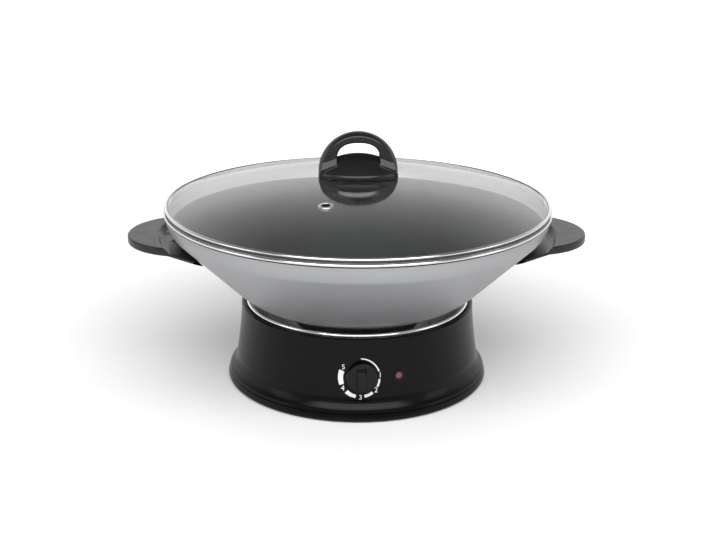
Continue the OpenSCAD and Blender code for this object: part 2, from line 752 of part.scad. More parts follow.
module neutral_wire() {
    color("#2a4a8a") {
        wire([[0, block_mouth_y, block_mouth_z], [0, block_y - 12, block_mouth_z], [-fuse_wire_x - 2, fuse_y + 8, pin_z - 3],
            [-fuse_wire_x, fuse_y, pin_z + 5], [-fuse_wire_x, fuse_y, dish_floor_z - 5]], wire_r);
        wire([[fuse_wire_x, fuse_y, dish_floor_z - 5], [fuse_wire_x, fuse_y, pin_z + 1], [0, fuse_y + 12, pin_z - 5],
            [-leg_x, leg_y, pin_z - 8], [-leg_x, leg_y, pin_z]], wire_r);
    }
}

earth_x = 18;
earth_y = block_y - 8;

module earth_wire() {
    color("#6f8a3a") wire([[side_x, block_mouth_y, block_mouth_z], [side_x, block_y - 6, block_mouth_z],
        [earth_x, earth_y, pin_z + 3], [earth_x, earth_y, dish_floor_z - head_h]], wire_r);
}

module earth_screw() {
    color("silver") translate([earth_x, earth_y, dish_floor_z]) screw_up(m3_r, m3_head_r, 4);
}

// ---------- Bowl and handles ----------

// Height of the soft knee's middle, from which it runs up into the collar
knee_mid_z = knee_z + knee_in * tan(cone_a) + knee_round * tan((90 - cone_a) / 2);
function bowl_outer() = concat(
    [[0, bowl_z]],
    arc(bowl_flat_r, bowl_z + bowl_bend_r, bowl_bend_r, 270, 270 + cone_a, 12),
    arc(collar_r - knee_round, knee_mid_z, knee_round, cone_a - 90, 0, 8),
    [[collar_r, rim_z - lip_h]]);

// Everything inside the bowl's outside, grown by a gap: what handles keep clear of
module bowl_envelope(gap) {
    rotate_extrude() polygon(concat(
        [[0, bowl_z - gap]],
        arc(bowl_flat_r, bowl_z + bowl_bend_r, bowl_bend_r + gap, 270, 270 + cone_a, 10),
        [[knee_r + gap, knee_z - gap / 2], [collar_r + gap, rim_z - lip_h], [0, rim_z - lip_h]]));
}

module lug(side) {
    out = handle_screw_x + 9;
    root = handle_screw_x - 36;
    difference() {
        translate([side > 0 ? root : -out, -lug_w / 2, lug_z - lug_t]) cube([out - root, lug_w, lug_t]);
        bowl_envelope(-bowl_t / 2);
        translate([side * handle_screw_x, 0, lug_z - lug_t - through]) cylinder(h = lug_t + 2 * through, r = m5_r + fit);
    }
}

module wok_bowl() {
    inner_rim_r = collar_r - bowl_t;
    color("#b4b5b8") {
        rotate_extrude() polygon(sheet(bowl_outer(), bowl_t));
        rotate_extrude() translate([inner_rim_r, rim_z - lip_h])
            polygon(concat([[0, 0]], arc(rim_r - inner_rim_r - lip_h / 2, lip_h / 2, lip_h / 2, -90, 90, 6), [[0, lip_h]]));
        translate([0, 0, bowl_z - bowl_foot_h]) cylinder(h = bowl_foot_h + bowl_t / 2, r = bowl_foot_r);
        for (side = [-1, 1]) lug(side);
    }
}

// Left or right handle, with the tip pointing along +X before mirroring
module handle_blank() {
    end_x = handle_reach - handle_end_r;
    web_in_r = handle_screw_x - 20;
    root_x = handle_screw_x - 46;
    pad_half = lug_w / 2 + 3;
    shoulder_r = recess_reach - 4;
    plate_z0 = handle_top_z - handle_t;
    difference() {
        union() {
            intersection() {
                translate([0, 0, lug_z]) linear_extrude(handle_top_z - lug_z) union() {
                    translate([end_x, 0]) circle(handle_end_r);
                    polygon([[root_x, -handle_root_w], [end_x + 10, -handle_end_r + 0.9], [end_x + 10, handle_end_r - 0.9],
                        [root_x, handle_root_w]]);
                }
                rotate_extrude() polygon([[web_in_r, lug_z], [shoulder_r, plate_z0], [handle_reach + 10, plate_z0],
                    [handle_reach + 10, handle_top_z + 1], [web_in_r, handle_top_z + 1]]);
            }
            translate([web_in_r, -pad_half, lug_z + seat]) cube([handle_screw_x + 11 - web_in_r, 2 * pad_half, handle_top_z - handle_t - lug_z]);
        }
        bowl_envelope(handle_gap);
        translate([recess_reach - recess_r, 0, handle_top_z - recess_d]) cylinder(h = 20, r = recess_r);
        translate([handle_screw_x, 0, lug_z - through]) cylinder(h = insert_len + 0.2 + seat + through, r = insert_r);
    }
}

module left_handle() {
    color("#2b2b2d") mirror([1, 0, 0]) handle_blank();
}

module right_handle() {
    color("#2b2b2d") handle_blank();
}

module handle_inserts() {
    color("#b9963c") for (s = [-1, 1]) translate([s * handle_screw_x, 0, lug_z + seat]) difference() {
        cylinder(h = insert_len, r = insert_r - fit / 2);
        translate([0, 0, -through]) cylinder(h = insert_len - 0.2, r = m5_r + fit / 2);
    }
}

module handle_screws() {
    color("silver") for (s = [-1, 1]) translate([s * handle_screw_x, 0, lug_z - lug_t])
        screw_up(m5_r, m5_head_r, lug_t + insert_len - 1.5);
}

// ---------- Lid ----------

glass_ball_z = glass_top_z - glass_ball_r;
vent_z = glass_ball_z + sqrt(glass_ball_r * glass_ball_r - vent_r * vent_r);
vent_tilt = asin(vent_r / glass_ball_r);

module at_vent() {
    rotate(vent_angle) translate([0, 0, glass_ball_z]) rotate([0, vent_tilt, 0]) translate([0, 0, glass_ball_r]) children();
}

module lid_glass() {
    floor_z = band_z + band_t + fit;
    color("#c9d6da") difference() {
        intersection() {
            translate([0, 0, glass_ball_z]) sphere(r = glass_ball_r, $fn = 256);
            translate([0, 0, floor_z]) cylinder(h = glass_rise, r = glass_edge_r);
        }
        translate([0, 0, glass_ball_z]) sphere(r = glass_ball_r - glass_t, $fn = 256);
        cylinder(h = glass_top_z + through, r = knob_hole_r);
        at_vent() translate([0, 0, -10]) cylinder(h = 20, r = vent_hole_r + 1);
    }
}
knob_hole_r = 4;

module lid_band() {
    inner_r = band_r - band_w;
    skirt_r = collar_r - bowl_t - 0.8;
    top_in_z = glass_ball_z + sqrt(glass_ball_r * glass_ball_r - inner_r * inner_r) + fit;
    top_out_z = glass_ball_z + sqrt(glass_ball_r * glass_ball_r - glass_edge_r * glass_edge_r) + fit;
    color("#e8e8e8") rotate_extrude() polygon([
        [skirt_r - band_t, band_z - skirt_h], [skirt_r, band_z - skirt_h], [skirt_r, band_z],
        [band_r - 0.4, band_z], [band_r, band_z + 0.4], [band_r, top_out_z],
        [band_r - 0.5, top_out_z + band_t], [inner_r, top_in_z + band_t], [inner_r, top_in_z],
        [glass_edge_r + fit, top_out_z], [glass_edge_r + fit, band_z + band_t], [skirt_r - band_t, band_z + band_t]]);
}

module vent_eyelet() {
    tube = vent_hole_r + 0.9;
    flange = 0.7;
    color("#dcdcdc") at_vent() difference() {
        union() {
            translate([0, 0, -glass_t - flange - 0.2]) cylinder(h = glass_t + 2 * flange + 0.6, r = tube);
            translate([0, 0, 0.2]) cylinder(h = flange, r1 = eyelet_r, r2 = eyelet_r - 0.6);
            translate([0, 0, -glass_t - flange - 0.2]) cylinder(h = flange, r = eyelet_r);
        }
        translate([0, 0, -10]) cylinder(h = 20, r = vent_hole_r);
    }
}

module lid_knob() {
    plan_sag = knob_depth - knob_end_depth;
    plan_r = (knob_half * knob_half + plan_sag * plan_sag) / (2 * plan_sag);
    dome_rise = knob_dome_h - knob_rim_h;
    dome_y_r = (knob_depth * knob_depth + dome_rise * dome_rise) / (2 * dome_rise);
    dome_x_drop = 10;
    dome_x_r = (knob_half * knob_half + dome_x_drop * dome_x_drop) / (2 * dome_x_drop);
    color("#1d1d1f") difference() {
        union() {
            // Foot with bowed cheeks, domed both ways
            intersection() {
                translate([0, plan_r - knob_depth, knob_foot_z]) cylinder(h = knob_dome_h, r = plan_r);
                translate([0, knob_depth - plan_r, knob_foot_z]) cylinder(h = knob_dome_h, r = plan_r);
                translate([0.4 - knob_half, -40, knob_foot_z]) cube([2 * knob_half - 0.8, 80, knob_dome_h]);
                translate([-40, 0, knob_foot_z + knob_dome_h - dome_y_r]) rotate([0, 90, 0]) cylinder(h = 80, r = dome_y_r);
                translate([0, 40, knob_foot_z + knob_dome_h - dome_x_r]) rotate([90, 0, 0]) cylinder(h = 80, r = dome_x_r);
            }
            translate([0, arch_half, knob_foot_z]) rotate([90, 0, 0]) linear_extrude(2 * arch_half) arch_profile();
        }
        translate([0, 0, knob_foot_z - through]) cylinder(h = 14 + through, r = insert_r);
        translate([0, 0, glass_ball_z]) sphere(r = glass_ball_r + seat, $fn = 256);
        translate([0, 0, knob_foot_z - through]) cylinder(h = glass_top_z + washer_t + fit - knob_foot_z + through, r = washer_r + fit);
    }
}
washer_r = 14;

// Arch seen from the front, with the wide low finger hole under it; y = 0 is the knob's foot
module arch_profile() {
    spring = 8;
    rise = finger_top - spring;
    hole_r = (finger_half * finger_half + rise * rise) / (2 * rise);
    centre = knob_h - knob_half;
    difference() {
        polygon(concat([[knob_half, 0]], arc(0, centre, knob_half, 0, 180, 36), [[-knob_half, 0]]));
        intersection() {
            translate([0, finger_top - hole_r]) circle(hole_r);
            translate([-finger_half, spring]) square([2 * finger_half, rise + 1]);
        }
    }
}

module knob_washer() {
    color("#b8b8b8") translate([0, 0, glass_top_z]) difference() {
        cylinder(h = washer_t, r = washer_r);
        translate([0, 0, -through]) cylinder(h = washer_t + 2 * through, r = knob_hole_r);
    }
}

backing_r = 16;
backing_t = 1;
backing_top_z = glass_ball_z + sqrt(pow(glass_ball_r - glass_t, 2) - backing_r * backing_r) - fit;

module lid_backing_plate() {
    color("#d0d0d0") translate([0, 0, backing_top_z - backing_t]) difference() {
        cylinder(h = backing_t, r = backing_r);
        translate([0, 0, -through]) cylinder(h = backing_t + 2 * through, r = m5_r + fit);
    }
}

module knob_insert() {
    color("#b9963c") translate([0, 0, glass_top_z + washer_t]) difference() {
        cylinder(h = 11, r = insert_r - fit / 2);
        translate([0, 0, -through]) cylinder(h = 10, r = m5_r + fit / 2);
    }
}

module knob_screw() {
    foot_z = backing_top_z - backing_t;
    color("silver") translate([0, 0, foot_z]) screw_up(m5_r, m5_head_r, glass_top_z + washer_t + 8.5 - foot_z);
}

base_shell();
bottom_plate();
rubber_feet();
bottom_screws();
trim_ring();
ring_screws();
reflector_dish();
heating_plate();
heating_element();
plate_spacers();
plate_screws();
sensor_bulb();
bulb_clips();
capillary_tube();
thermal_fuse();
fuse_clip();
thermostat_body();
thermostat_nut();
thermostat_shaft();
dial_knob();
knob_clip();
pilot_lens();
pilot_lamp();
terminal_block();
cord_gland();
cord_clamp();
clamp_screws();
live_wire();
neutral_wire();
heater_wire();
earth_wire();
earth_screw();
wok_bowl();
left_handle();
right_handle();
handle_inserts();
handle_screws();
lid_glass();
lid_band();
vent_eyelet();
lid_knob();
knob_washer();
lid_backing_plate();
knob_insert();
knob_screw();
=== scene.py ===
"""Electric wok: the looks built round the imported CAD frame, with its studio and camera.
Shapes are written in millimetres, in the frame's axes: +Z up, -Y to the front."""

import math

import bmesh
import bpy
import numpy as np
from mathutils import Matrix, Vector


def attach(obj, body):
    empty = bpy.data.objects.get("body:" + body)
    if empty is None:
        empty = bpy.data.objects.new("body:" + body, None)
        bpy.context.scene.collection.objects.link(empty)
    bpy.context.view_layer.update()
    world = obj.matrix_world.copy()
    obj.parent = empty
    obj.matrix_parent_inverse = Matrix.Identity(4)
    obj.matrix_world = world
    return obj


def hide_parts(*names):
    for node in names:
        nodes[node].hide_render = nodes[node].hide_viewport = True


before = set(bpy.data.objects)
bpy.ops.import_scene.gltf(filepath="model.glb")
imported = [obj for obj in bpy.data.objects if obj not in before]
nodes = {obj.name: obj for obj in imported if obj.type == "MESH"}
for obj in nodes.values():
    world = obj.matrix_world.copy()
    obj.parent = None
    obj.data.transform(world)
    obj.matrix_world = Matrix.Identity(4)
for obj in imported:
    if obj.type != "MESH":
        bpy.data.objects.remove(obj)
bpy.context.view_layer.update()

MM = 0.001

# Sizes shared with the CAD source, in mm
BASE_TOP_Z, BASE_TOP_R = 74.3, 109.8
WAIST_ADD, WAIST_Z = 5.2, 24.5       # the base's wall grows by this much down to its waist
FLARE_X, FLARE_R = 133.0, 18.0       # middle and radius of the flare's arc, under the waist
DIAL_Z, DIAL_FACE_Y = 39.9, 114.58   # dial's axis, and the flat face behind it
DIAL_R, DIAL_BACK_Y, DIAL_END_Y = 13.3, 114.88, 118.28
LENS_ANGLE, LENS_Z = math.radians(17.1), 38.9
FLAT_R, BOWL_Z, BEND_R = 57.0, 69.0, 90.0        # bowl's flat bottom, and the bend round it
CONE_ANGLE = math.radians(44.42)
KNEE_IN_R, KNEE_Z, KNEE_ROUND = 156.2, 161.007, 22.0    # middle and radius of the knee's arc
COLLAR_R, LIP_Z, RIM_Z, WALL_T = 178.2, 163.0, 165.2, 2.8
HANDLE_SCREW_X = 166.97              # screw through the bowl's lug into the handle
INSERT_R = 4.05                      # hole for the threaded insert in a handle or the lid knob
BAND_R, LID_SEAT_Z = 178.1, 165.5    # lid's band: its outer radius, and the seat that rests on the rim
BALL_R, BALL_Z = 660.7, -467.2       # sphere of the glass's outer face
GLASS_T = 3.0
VENT_R, VENT_ANGLE = 90.0, math.radians(250)

# Round steps of the lathed pieces
FINE_STEPS, ROUND_STEPS, SMALL_STEPS = 240, 192, 48

# Heat scale round the dial. Each band has its ends in clock degrees, then at both ends its width and
# its inner radius.
PRINT_SHIFT = (-1.2, -1.3)           # its middle from the dial's axis
PRINT_PROUD = 0.09
HEAT_BANDS = (((2, 71), (1.1, 1.3), (17.0, 16.9)),
              ((94, 118), (1.6, 2.0), (16.4, 16.2)),
              ((140, 167), (2.4, 2.9), (15.9, 15.6)),
              ((193, 225), (3.2, 3.8), (15.4, 15.2)),
              ((250, 292), (4.3, 4.8), (15.0, 14.9)))
HEAT_DIGITS = (("1", 82), ("2", 128), ("3", 179), ("4", 239), ("5", 304))
DIGIT_SIZE = 6.5
DIGIT_RING = (17.9, 17.6)            # half width and half height of the ring that the digits stand on


# ---------- Camera ----------

PHOTO_W, PHOTO_H = 716, 540
FOCAL_PX = 1216.45
CAMERA_DISTANCE = 1.150
CAMERA_ELEVATION = math.radians(17.586)
CAMERA_AZIMUTH = math.radians(-2.2)
CAMERA_ROLL = math.radians(0.421)
AIM_POINT = Vector((0, 0, 0.120))
AIM_X_PX, AIM_Y_PX = 357.51, 250.997    # where that point is in the photograph


def make_camera():
    """The camera that took the photograph, as fitted to it"""
    data = bpy.data.cameras.new("camera")
    data.sensor_width = 36
    data.lens = FOCAL_PX * data.sensor_width / PHOTO_W
    data.clip_start, data.clip_end = 0.05, 50
    camera = bpy.data.objects.new("camera", data)
    bpy.context.scene.collection.objects.link(camera)
    a, e = CAMERA_AZIMUTH, CAMERA_ELEVATION
    back = Vector((math.sin(a) * math.cos(e), -math.cos(a) * math.cos(e), math.sin(e)))
    camera.location = AIM_POINT + back * CAMERA_DISTANCE
    look = (-back).to_track_quat("-Z", "Y").to_matrix()
    down = math.atan((PHOTO_H / 2 - AIM_Y_PX) / FOCAL_PX)
    left = math.atan((PHOTO_W / 2 - AIM_X_PX) / FOCAL_PX)
    roll = Matrix.Rotation(CAMERA_ROLL, 3, "Z")
    turn = roll @ Matrix.Rotation(-down, 3, "X") @ Matrix.Rotation(-left, 3, "Y")
    camera.rotation_euler = (look @ turn).to_euler()
    bpy.context.scene.camera = camera


# ---------- Materials ----------

# Sockets of a Mix node: its share, then the two ends and the result for numbers and for colours
MIX_SHARE, MIX_A, MIX_B, MIX_OUT = 0, 2, 3, 0
MIX_COLOUR_A, MIX_COLOUR_B, MIX_COLOUR_OUT = 6, 7, 2


class Shader:
    """A Principled material whose colour, roughness and relief come from noise in object space."""

    def __init__(self, name, **sockets):
        self.material = bpy.data.materials.new(name)
        self.material.use_nodes = True
        self.tree = self.material.node_tree
        self.bsdf = self.tree.nodes["Principled BSDF"]
        for socket, value in sockets.items():
            self.bsdf.inputs[socket.replace("_", " ")].default_value = value
        self.place = self.tree.nodes.new("ShaderNodeTexCoord").outputs["Object"]

    def node(self, kind, inputs=(), **settings):
        """A new node, with its settings, and with values or links fed into its inputs"""
        made = self.tree.nodes.new(kind)
        for key, value in settings.items():
            setattr(made, key, value)
        for key, value in dict(inputs).items():
            self.feed(made.inputs[key], value)
        return made

    def feed(self, socket, value):
        if isinstance(value, bpy.types.NodeSocket):
            self.tree.links.new(value, socket)
        else:
            socket.default_value = value

    def math(self, operation, *values):
        return self.node("ShaderNodeMath", dict(enumerate(values)), operation=operation).outputs[0]

    def length(self, x, y):
        """Distance from the Z axis"""
        squares = self.math("ADD", self.math("MULTIPLY", x, x), self.math("MULTIPLY", y, y))
        return self.math("SQRT", squares)

    def noise(self, scale, detail=3.0, place=None):
        inputs = {"Vector": place or self.place, "Scale": scale, "Detail": detail, "Roughness": 0.55}
        return self.node("ShaderNodeTexNoise", inputs).outputs["Fac"]

    def spread(self, value, low, high, start=0.3, end=0.7):
        """value, whose middle part runs from start to end, mapped to low..high"""
        return self.node("ShaderNodeMapRange", {0: value, 1: start, 2: end, 3: low, 4: high}).outputs[0]

    def mix(self, share, a, b):
        made = self.node("ShaderNodeMix", data_type="RGBA")
        self.feed(made.inputs[MIX_SHARE], share)
        self.feed(made.inputs[MIX_COLOUR_A], a)
        self.feed(made.inputs[MIX_COLOUR_B], b)
        return made.outputs[MIX_COLOUR_OUT]

    def turned(self):
        """Coordinates (distance from the Z axis, height, a little of the angle), for marks of turning"""
        x, y, z = self.node("ShaderNodeSeparateXYZ", {0: self.place}).outputs
        angle = self.math("MULTIPLY", self.math("ARCTAN2", y, x), 0.004)
        inputs = {0: self.length(x, y), 1: z, 2: angle}
        return self.node("ShaderNodeCombineXYZ", inputs).outputs[0]

    def colour(self, rgb, change=0.08, scale=60.0, value=None):
        """Base colour that wavers by a share of itself"""
        dark, light = ([c * k for c in rgb] + [1] for k in (1 - change, 1 + change))
        share = self.spread(value or self.noise(scale), 0, 1)
        self.feed(self.bsdf.inputs["Base Color"], self.mix(share, dark, light))
        return self

    def roughness(self, middle, change=0.03, scale=90.0, value=None):
        """Roughness that wavers by an amount about its middle"""
        self.feed(self.bsdf.inputs["Roughness"],
                  self.spread(value or self.noise(scale), middle - change, middle + change))
        return self

    def relief(self, height, scale, detail=3.0, place=None):
        """Bump of a height in mm, made by noise"""
        bump = self.node("ShaderNodeBump", {"Strength": 1.0, "Distance": height * MM,
                                            "Height": self.noise(scale, detail, place)})
        self.feed(self.bsdf.inputs["Normal"], bump.outputs[0])
        return self


def moulded(name, rgb, rough, grain=0.012, grain_scale=1500.0, specular=0.5):
    """Moulded plastic or rubber with a fine spark-eroded grain"""
    made = Shader(name, Specular_IOR_Level=specular)
    return made.colour(rgb, 0.10, 45).roughness(rough, 0.035, 70).relief(grain, grain_scale).material


def metal(name, rgb, rough, turned=False, marks=0.004, marks_scale=900.0):
    """Bare metal, either turned round the Z axis or rolled sheet with faint mottling"""
    made = Shader(name, Metallic=1.0)
    place = made.turned() if turned else None
    value = made.noise(marks_scale, 2.0, place)
    made.colour(rgb, 0.05, value=value)
    made.roughness(rough, rough * 0.3, value=value)
    return made.relief(marks, marks_scale, 2.0, place).material


def bowl_finish():
    """Pale satin lacquer outside, dark non-stick coating inside, bare metal on the collar, polished lip, and
    a painted shadow line under the lip
    """
    coating_top_z, ragged = 150.3 * MM, 0.2 * MM
    lip_z = (LIP_Z + 0.03) * MM
    # height and half height of the painted shadow line under the lip
    shadow_line_z, shadow_line_half = (LIP_Z - 0.6) * MM, 0.62 * MM
    made = Shader("bowl_enamel", Specular_IOR_Level=0.5)
    x, y, z = made.node("ShaderNodeSeparateXYZ", {0: made.place}).outputs
    normal = made.node("ShaderNodeNewGeometry").outputs["True Normal"]
    nx, ny, nz = made.node("ShaderNodeSeparateXYZ", {0: normal}).outputs
    outward = made.math("ADD", made.math("MULTIPLY", x, nx), made.math("MULTIPLY", y, ny))
    outward = made.math("DIVIDE", outward, made.length(x, y))

    # inside faces look up and inward, so their outward part is below their upward part
    inside = made.math("GREATER_THAN", made.math("SUBTRACT", nz, outward), 0.0)
    edge = made.spread(made.noise(9, 1.0), -ragged, ragged)
    high = made.math("GREATER_THAN", made.math("ADD", z, edge), coating_top_z)
    coated = made.math("MULTIPLY", inside, made.math("SUBTRACT", 1.0, high))
    collar = made.math("MULTIPLY", inside, high)
    lip = made.math("GREATER_THAN", z, lip_z)
    # painted shadow: a black line painted outside, where the rolled lip meets the collar
    painted_shadow_line = made.math("MULTIPLY", made.math("COMPARE", z, shadow_line_z, shadow_line_half),
                     made.math("GREATER_THAN", outward, 0.0))

    fine = made.noise(2600, 2.0)
    broad = made.noise(14, 3.0)
    turned = made.noise(1500, 2.0, made.turned())
    both = made.math("ADD", made.math("MULTIPLY", fine, 0.6), made.math("MULTIPLY", broad, 0.4))

    def shade(value, dark, light):
        return made.mix(made.spread(value, 0, 1), (*dark, 1), (*light, 1))

    grey = shade(both, (0.40, 0.405, 0.417), (0.46, 0.465, 0.477))
    black = shade(made.noise(300), (0.024, 0.025, 0.027), (0.036, 0.037, 0.039))
    bare = shade(turned, (0.84, 0.84, 0.835), (0.93, 0.93, 0.925))
    polished = shade(turned, (0.86, 0.86, 0.85), (0.92, 0.92, 0.91))
    # black of the painted shadow line under the lip
    shadow = (0.006, 0.006, 0.006, 1)
    colour = made.mix(lip, made.mix(collar, made.mix(coated, grey, black), bare), polished)
    made.feed(made.bsdf.inputs["Base Color"], made.mix(painted_shadow_line, colour, shadow))

    def choose(lacquer, coating, bare_metal, top):
        """The number that belongs to the finish of each place"""
        def pick(share, a, b):
            return made.node("ShaderNodeMix", {MIX_SHARE: share, MIX_A: a, MIX_B: b}).outputs[MIX_OUT]

        return pick(lip, pick(collar, pick(coated, lacquer, coating), bare_metal), top)

    # no metal in the painted shadow line
    metallic = made.math("MULTIPLY", choose(0.88, 0.0, 0.20, 1.0), made.math("SUBTRACT", 1.0, painted_shadow_line))
    made.feed(made.bsdf.inputs["Metallic"], metallic)
    rough = choose(made.spread(fine, 0.38, 0.46), made.spread(made.noise(120), 0.30, 0.38),
                   made.spread(turned, 0.34, 0.44), made.spread(turned, 0.06, 0.12))
    made.feed(made.bsdf.inputs["Roughness"], rough)
    return made.relief(0.004, 1800, 2.0).material


def glass_finish():
    """Clear glass with a faint green cast, and a barely wavy face"""
    made = Shader("clear_glass", Transmission_Weight=1.0, IOR=1.5)
    made.colour((0.955, 0.975, 0.965), 0.01, 8)
    made.roughness(0.012, 0.006, 25)
    return made.relief(0.004, 18, 1.0).material


def lens_finish():
    """Dull red translucent plastic, faintly lit from behind"""
    made = Shader("red_lens", Transmission_Weight=0.25, IOR=1.45, Specular_IOR_Level=0.5)
    made.colour((0.20, 0.075, 0.09), 0.15, 500)
    made.roughness(0.22, 0.04, 700)
    made.bsdf.inputs["Emission Color"].default_value = (0.45, 0.16, 0.20, 1)
    made.bsdf.inputs["Emission Strength"].default_value = 0.08
    return made.relief(0.02, 1500).material


# The record's material slots
FINISH = {
    "black_shell": moulded("black_shell", (0.0028, 0.0028, 0.0030), 0.22, 0.003, 2200, 0.15),
    "dark_sheet": metal("dark_sheet", (0.10, 0.10, 0.105), 0.45),
    "foot_rubber": moulded("foot_rubber", (0.010, 0.010, 0.010), 0.7, 0.02, 900),
    "zinc_screw": metal("zinc_screw", (0.55, 0.55, 0.54), 0.32),
    "polished_steel": metal("polished_steel", (0.88, 0.87, 0.85), 0.07, turned=True, marks=0.0015),
    "bright_sheet": metal("bright_sheet", (0.50, 0.50, 0.50), 0.34, turned=True),
    "cast_aluminium": metal("cast_aluminium", (0.42, 0.42, 0.43), 0.5, marks=0.02, marks_scale=500),
    "element_steel": metal("element_steel", (0.16, 0.15, 0.14), 0.5),
    "copper": metal("copper", (0.75, 0.36, 0.22), 0.3),
    "ceramic": moulded("ceramic", (0.70, 0.67, 0.58), 0.55, 0.015, 900),
    "black_phenolic": moulded("black_phenolic", (0.0100, 0.0100, 0.0105), 0.25, 0.006, 1300, 0.42),
    "red_lens": lens_finish(),
    "lamp_glass": moulded("lamp_glass", (0.62, 0.36, 0.24), 0.2, 0.005, 400),
    "brown_wire": moulded("brown_wire", (0.10, 0.035, 0.015), 0.5),
    "blue_wire": moulded("blue_wire", (0.02, 0.06, 0.25), 0.5),
    "red_wire": moulded("red_wire", (0.30, 0.03, 0.02), 0.5),
    "green_wire": moulded("green_wire", (0.10, 0.22, 0.03), 0.5),
    "bowl_enamel": bowl_finish(),
    "brass_insert": metal("brass_insert", (0.62, 0.43, 0.16), 0.28, marks=0.01),
    "clear_glass": glass_finish(),
    "silicone": moulded("silicone", (0.45, 0.45, 0.44), 0.5, 0.01, 700),
}
# Looks of their own: the print has no slot, and the others differ from the finish of their slot
PRINT = moulded("white_print", (0.90, 0.90, 0.91), 0.5, 0.004, 2500)
# painted shade: a dark ring for the shadowed gap between the band's seat and bead
GAP_SHADE = moulded("band_gap_shade", (0.030, 0.030, 0.031), 0.35, 0.004, 900)
LENS_RIM = moulded("lens_rim", (0.014, 0.006, 0.008), 0.25, 0.004, 900, 0.3)
DIAL_BLACK = moulded("dial_black", (0.0048, 0.0048, 0.0050), 0.26, 0.004, 1500, 0.26)
# painted shade: near-black for the plug that fills the vent's hole
HOLE_SHADE = moulded("vent_hole_shade", (0.004, 0.004, 0.004), 0.6, 0.004, 900, 0.1)
SATIN = metal("satin_steel", (0.90, 0.90, 0.88), 0.36, marks=0.002, marks_scale=700)


def dress_cad_nodes():
    """Gives each CAD node the finish of its slot"""
    for node in nodes.values():
        for slot in node.material_slots:
            slot.material = FINISH[slot.material.name.split(".")[0]]


# ---------- Mesh making ----------

def add_piece(name, verts, faces, body, slot, replaced=(), sharp=None, finish=None):
    """A mesh from points in mm, which rides on a CAD body and takes the slot's finish"""
    mesh = bpy.data.meshes.new(name)
    mesh.from_pydata([tuple(float(c) * MM for c in v) for v in verts], [], [tuple(f) for f in faces])
    work = bmesh.new()
    work.from_mesh(mesh)
    bmesh.ops.recalc_face_normals(work, faces=work.faces)
    work.to_mesh(mesh)
    work.free()
    mesh.shade_smooth()
    if sharp:
        mesh.set_sharp_from_angle(angle=math.radians(sharp))
    mesh.materials.append(finish or FINISH[slot])
    piece = bpy.data.objects.new(name, mesh)
    bpy.context.scene.collection.objects.link(piece)
    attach(piece, body)
    if replaced:
        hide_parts(*replaced)
    return piece


def softened(points, radius, steps=4):
    """A closed outline whose corners are rounded off with short curves"""
    longest = 0.45                       # part of a side that a curve may take up
    out = []
    points = [np.array(p, float) for p in points]
    for i, p in enumerate(points):
        before, after = points[i - 1], points[(i + 1) % len(points)]
        reach = min(radius, longest * np.linalg.norm(before - p), longest * np.linalg.norm(after - p))
        a = p + reach * (before - p) / np.linalg.norm(before - p)
        c = p + reach * (after - p) / np.linalg.norm(after - p)
        out += [(1 - t) ** 2 * a + 2 * t * (1 - t) * p + t * t * c for t in np.linspace(0, 1, steps + 1)]
    return out


def arc(cx, cz, r, start, end, steps):
    """Points on a circle round (cx, cz), between two angles in degrees"""
    return [(cx + r * math.cos(math.radians(a)), cz + r * math.sin(math.radians(a)))
            for a in np.linspace(start, end, steps + 1)]


def lathe(outline, steps):
    """Points and faces of a closed (radius, height) outline turned about Z, with one point where it
    meets the axis"""
    verts, index = [], []
    for r, z in outline:
        if r < 1e-6:
            index.append([len(verts)] * steps)
            verts.append((0, 0, z))
        else:
            index.append(list(range(len(verts), len(verts) + steps)))
            turns = [2 * math.pi * k / steps for k in range(steps)]
            verts += [(r * math.cos(turn), r * math.sin(turn), z) for turn in turns]
    faces = []
    for a, b in zip(index, index[1:] + index[:1]):
        for k in range(steps):
            n = (k + 1) % steps
            face = list(dict.fromkeys([a[k], a[n], b[n], b[k]]))
            if len(face) > 2:
                faces.append(face)
    return verts, faces


# A form's field is its distance in mm, negative inside, or near enough to it. A factor on a sloping face or
# on a ratio brings it near to a distance.


def smooth_max(a, b, k):
    """The higher of two fields, with their meeting rounded off over a width k"""
    h = np.clip(0.5 + 0.5 * (a - b) / k, 0, 1)
    return b + (a - b) * h + k * h * (1 - h)


def smooth_min(a, b, k):
    """The lower of two fields, rounded off in the same way"""
    return -smooth_max(-a, -b, k)


